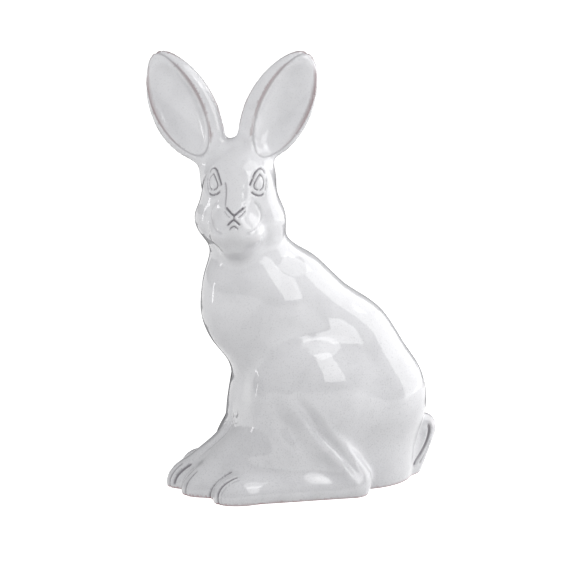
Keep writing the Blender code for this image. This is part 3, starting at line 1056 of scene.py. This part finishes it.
def flag(index, place, tilt, turn, size, paint):
    """A black panel that the camera doesn't see, only its reflection in the glaze."""
    mesh = bmesh.new()
    bmesh.ops.create_grid(mesh, x_segments=1, y_segments=1, size=0.5)
    bmesh.ops.scale(mesh, verts=mesh.verts, vec=(*size, 1))
    item = staged(f"flag_{index}", mesh, paint)
    item.location = place
    item.rotation_euler = (tilt, 0, turn)
    item.visible_camera = False
    item.visible_shadow = False
    item.visible_diffuse = False


class HARE_OT_studio(bpy.types.Operator):
    """Set up the floor, the soft boxes and the camera"""

    bl_idname = "hare.studio"
    bl_label = "Studio"

    def execute(self, context):
        scene = context.scene
        look = scene.hare_studio
        scene.view_settings.view_transform = "Standard"
        back = Vector((
            math.sin(look.azimuth) * math.cos(look.elevation),
            -math.cos(look.azimuth) * math.cos(look.elevation),
            math.sin(look.elevation),
        ))
        camera = bpy.data.objects.new("camera", bpy.data.cameras.new("camera"))
        camera.data.lens = look.lens
        camera.location = TARGET + back * look.distance
        camera.rotation_mode = "QUATERNION"
        camera.rotation_quaternion = (-back).to_track_quat("-Z", "Y")
        scene.collection.objects.link(camera)
        scene.camera = camera
        right = Vector((math.cos(look.azimuth), math.sin(look.azimuth), 0))
        up = Vector((0, 0, 1))
        ahead = Vector((back.x, back.y, 0)).normalized()

        def place_of(across, forward, high):
            return TARGET + right * across + ahead * forward + up * high

        for name, place, size, power in SOFT_BOXES:
            area_light(name, place_of(*place), TARGET, size, power).visible_glossy = False
        for name, place, size, power in PANELS:
            area_light(name, place_of(*place), TARGET, size, power).visible_diffuse = False
        black = Paint("black flag")
        black.set("Base Color", BLACK)
        black.set("Roughness", 1)
        black.set("IOR", 1)
        for index, (place, tilt, size) in enumerate(FLAGS):
            flag(index, place_of(*place), tilt, look.azimuth, size, black)
        world = bpy.data.worlds.new("studio")
        scene.world = world
        world.use_nodes = True
        sky = world.node_tree.nodes["Background"]
        sky.inputs["Color"].default_value = WHITE
        sky.inputs["Strength"].default_value = SKY_STRENGTH
        pale = Paint("pale floor")
        pale.set("Base Color", opaque(look.floor))
        pale.set("Roughness", FLOOR_ROUGHNESS)
        pale.set("Emission Color", WHITE)
        pale.set("Emission Strength", FLOOR_GLOW)
        floor = bmesh.new()
        bmesh.ops.create_grid(floor, x_segments=1, y_segments=1, size=FLOOR_REACH)
        staged("floor", floor, pale).visible_diffuse = False
        return {"FINISHED"}


class HARE_PT_panel(bpy.types.Panel):
    """The hare's sizes, glaze and studio"""

    bl_idname = "HARE_PT_panel"
    bl_label = "Hare"
    bl_space_type = "VIEW_3D"
    bl_region_type = "UI"
    bl_category = "Hare"

    def draw(self, context):
        layout = self.layout
        scene = context.scene
        for operator, groups in (
            (HARE_OT_figure, (scene.hare_sizes, scene.hare_glaze)),
            (HARE_OT_studio, (scene.hare_studio,)),
        ):
            layout.operator(operator.bl_idname)
            for settings in groups:
                for name in settings.__annotations__:
                    layout.prop(settings, name)


CLASSES = (HareSizes, GlazeLook, StudioLook, HARE_OT_figure, HARE_OT_studio, HARE_PT_panel)


def register():
    for item in CLASSES:
        bpy.utils.register_class(item)
    bpy.types.Scene.hare_sizes = PointerProperty(type=HareSizes)
    bpy.types.Scene.hare_glaze = PointerProperty(type=GlazeLook)
    bpy.types.Scene.hare_studio = PointerProperty(type=StudioLook)


def unregister():
    del bpy.types.Scene.hare_studio
    del bpy.types.Scene.hare_glaze
    del bpy.types.Scene.hare_sizes
    for item in reversed(CLASSES):
        bpy.utils.unregister_class(item)


def main():
    for name in ("Cube", "Light", "Camera"):
        if name in bpy.data.objects:
            bpy.data.objects.remove(bpy.data.objects[name])
    register()
    bpy.ops.hare.figure()
    bpy.ops.hare.studio()
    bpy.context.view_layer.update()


if __name__ == "__main__":
    main()
